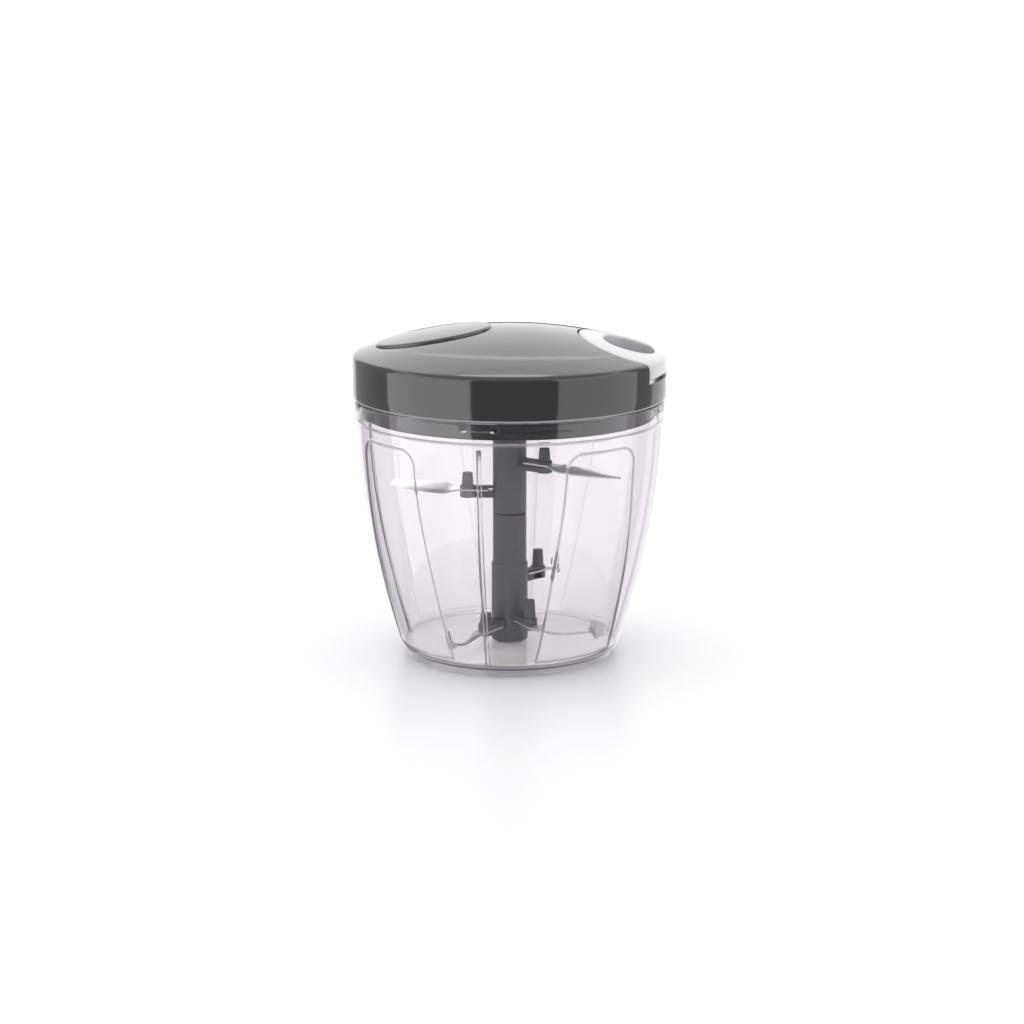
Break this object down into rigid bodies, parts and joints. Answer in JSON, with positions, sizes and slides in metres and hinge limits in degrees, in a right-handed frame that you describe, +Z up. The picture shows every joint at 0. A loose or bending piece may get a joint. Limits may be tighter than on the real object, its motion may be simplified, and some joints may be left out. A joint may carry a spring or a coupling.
{
  "type": "pull cord food chopper",
  "caption": "Hand food chopper: a clear bowl with a knife column on a steel pin, and a domed lid with a cord reel, recoil spring, saw-tooth clutch and pull handle.",
  "frame": {"origin": "centre of the bowl's foot ring, on the table", "axes": "+Z up along the knife column, +X towards the pull handle, which comes out along it"},
  "size_m": [0.134, 0.134, 0.1431],
  "materials": {
    "clear_styrene": "clear, polished",
    "grey_abs": "glossy",
    "satin_grey_nylon": "satin",
    "white_abs": "glossy",
    "knife_steel": "ground",
    "spring_steel": "rolled",
    "silicone": "matt",
    "natural_nylon": "satin",
    "cord_fibre": "braided"
  },
  "bodies": {
    "bowl": {"bowl": "clear_styrene", "pivot_pin": "knife_steel"},
    "blades": {"blade_column_lower": "satin_grey_nylon", "blade_column_upper": "satin_grey_nylon", "foot_bush": "natural_nylon", "blade_1": "knife_steel", "blade_2": "knife_steel", "blade_3": "knife_steel", "blade_4": "knife_steel", "blade_5": "knife_steel"},
    "lid": {"lid_cover": "grey_abs", "oval_inlay": "grey_abs", "lid_base": "grey_abs", "seal_ring": "silicone", "lid_screw_1": "knife_steel", "lid_screw_2": "knife_steel", "lid_screw_3": "knife_steel", "lid_screw_4": "knife_steel", "cord_guide": "knife_steel", "axle": "knife_steel", "recoil_spring": "spring_steel"},
    "reel": {"cord_reel": "natural_nylon", "spring_cover": "natural_nylon", "cord_winding": "cord_fibre"},
    "drive": {"drive_hub": "natural_nylon", "clutch_spring": "spring_steel"},
    "handle": {"pull_handle": "white_abs", "handle_base": "white_abs", "cord_knot": "cord_fibre", "pull_cord": "cord_fibre"}
  },
  "joints": [
    {"name": "lid_lift", "type": "slide", "parent": "bowl", "child": "lid", "axis": [0, 0, 1], "range_m": [0, 0.12]},
    {"name": "handle_pull", "type": "slide", "parent": "lid", "child": "handle", "axis": [1, 0, 0], "range_m": [0, 0.4], "stiffness_N_per_m": 15, "springref_m": -0.08, "deforming": ["pull_cord"]},
    {"name": "reel_spin", "type": "hinge", "parent": "lid", "child": "reel", "pos_m": [0, 0, 0.1242], "axis": [0, 0, 1], "range_deg": [0, 1150]},
    {"name": "drive_spin", "type": "hinge", "parent": "lid", "child": "drive", "pos_m": [0, 0, 0.1105], "axis": [0, 0, 1], "range_deg": [0, 1150]},
    {"name": "blade_spin", "type": "hinge", "parent": "bowl", "child": "blades", "pos_m": [0, 0, 0.0257], "axis": [0, 0, 1], "range_deg": [0, 1150]}
  ],
  "couplings": [
    {"joint": "reel_spin", "follows": "handle_pull", "rad_per_m": 50},
    {"joint": "drive_spin", "follows": "handle_pull", "rad_per_m": 50},
    {"joint": "blade_spin", "follows": "handle_pull", "rad_per_m": 50}
  ]
}
